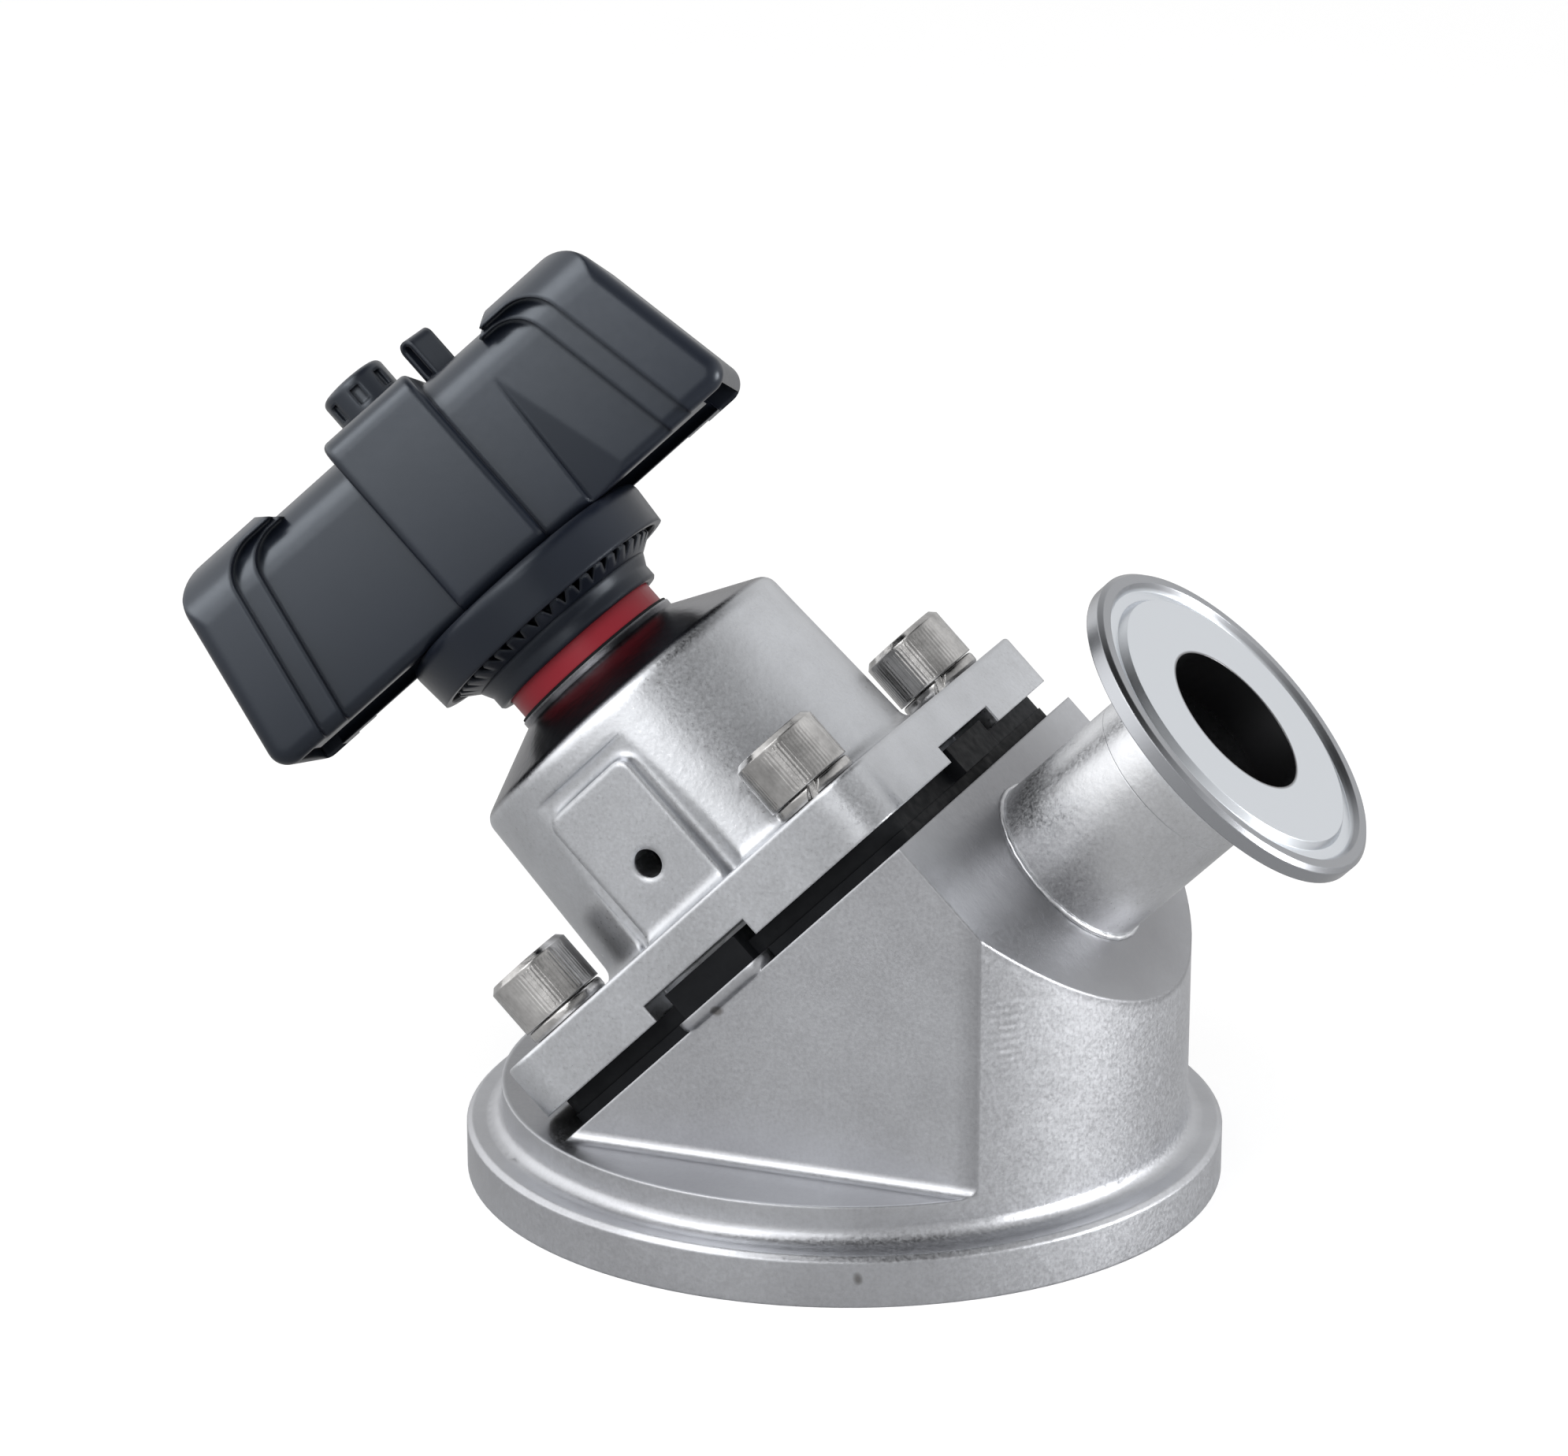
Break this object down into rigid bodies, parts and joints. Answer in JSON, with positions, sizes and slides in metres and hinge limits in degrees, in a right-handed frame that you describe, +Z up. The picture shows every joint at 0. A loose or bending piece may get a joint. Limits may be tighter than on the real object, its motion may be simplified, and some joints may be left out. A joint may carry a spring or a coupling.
{
  "type": "tank bottom diaphragm valve",
  "caption": "Manual weir diaphragm valve on a round tank pad, with its bonnet leaning at 45 degrees, a clamp ferrule outlet and a two-armed handwheel.",
  "frame": {"origin": "centre of the tank pad's underside", "axes": "+Z up from the tank pad into the valve, +X towards the outlet, the bonnet leans towards -X at 45 degrees, Y across the valve"},
  "size_m": [0.1695, 0.1072, 0.1278],
  "materials": {
    "body_steel": "fine bead-blasted satin stainless steel",
    "tube_steel": "drawn tube, lightly polished",
    "ferrule_steel": "turned satin stainless steel",
    "bonnet_steel": "investment cast and blasted stainless steel",
    "bolt_steel": "polished stainless steel",
    "bush_brass": "turned bronze",
    "black_rubber": "moulded black rubber",
    "red_plastic": "satin red plastic",
    "handle_plastic": "satin black glass-filled plastic"
  },
  "bodies": {
    "valve": {"valve_body": "body_steel", "outlet_tube": "tube_steel", "outlet_ferrule": "ferrule_steel", "diaphragm_face": "black_rubber", "diaphragm_backing": "black_rubber", "bonnet": "bonnet_steel", "bonnet_bolts": "bolt_steel", "spring_washers": "bolt_steel", "neck_seal": "black_rubber", "indicator_sleeve": "red_plastic", "spindle_bush": "bush_brass", "bush_seal": "black_rubber", "spindle_seal": "black_rubber"},
    "lift_carriage": {"compressor": "bonnet_steel", "compressor_pins": "bolt_steel", "thrust_washer": "bolt_steel", "diaphragm_stud": "bolt_steel"},
    "handwheel_group": {"spindle": "bolt_steel", "lower_collar": "handle_plastic", "adjuster_ring": "handle_plastic", "hub_collar": "handle_plastic", "handwheel": "handle_plastic", "handle_screw": "bolt_steel", "screw_washer": "bolt_steel", "top_cap": "handle_plastic", "lock_eye": "handle_plastic"},
    "knob": {"limiter_knob": "handle_plastic", "knob_clip": "bolt_steel"}
  },
  "joints": [
    {"name": "stem_lift", "type": "slide", "parent": "valve", "child": "lift_carriage", "axis": [-0.7071, 0, 0.7071], "range_m": [-0.0028, 0.007], "deforming": ["diaphragm_face", "diaphragm_backing"]},
    {"name": "handwheel_turn", "type": "hinge", "parent": "lift_carriage", "child": "handwheel_group", "pos_m": [-0.0038, 0, 0.0354], "axis": [-0.7071, 0, 0.7071], "range_deg": [-252, 630]},
    {"name": "limiter_turn", "type": "hinge", "parent": "handwheel_group", "child": "knob", "pos_m": [-0.0038, 0, 0.0354], "axis": [-0.7071, 0, 0.7071], "range_deg": [-180, 180]}
  ],
  "couplings": [
    {"joint": "stem_lift", "follows": "handwheel_turn", "m_per_rad": 0.0006366}
  ]
}
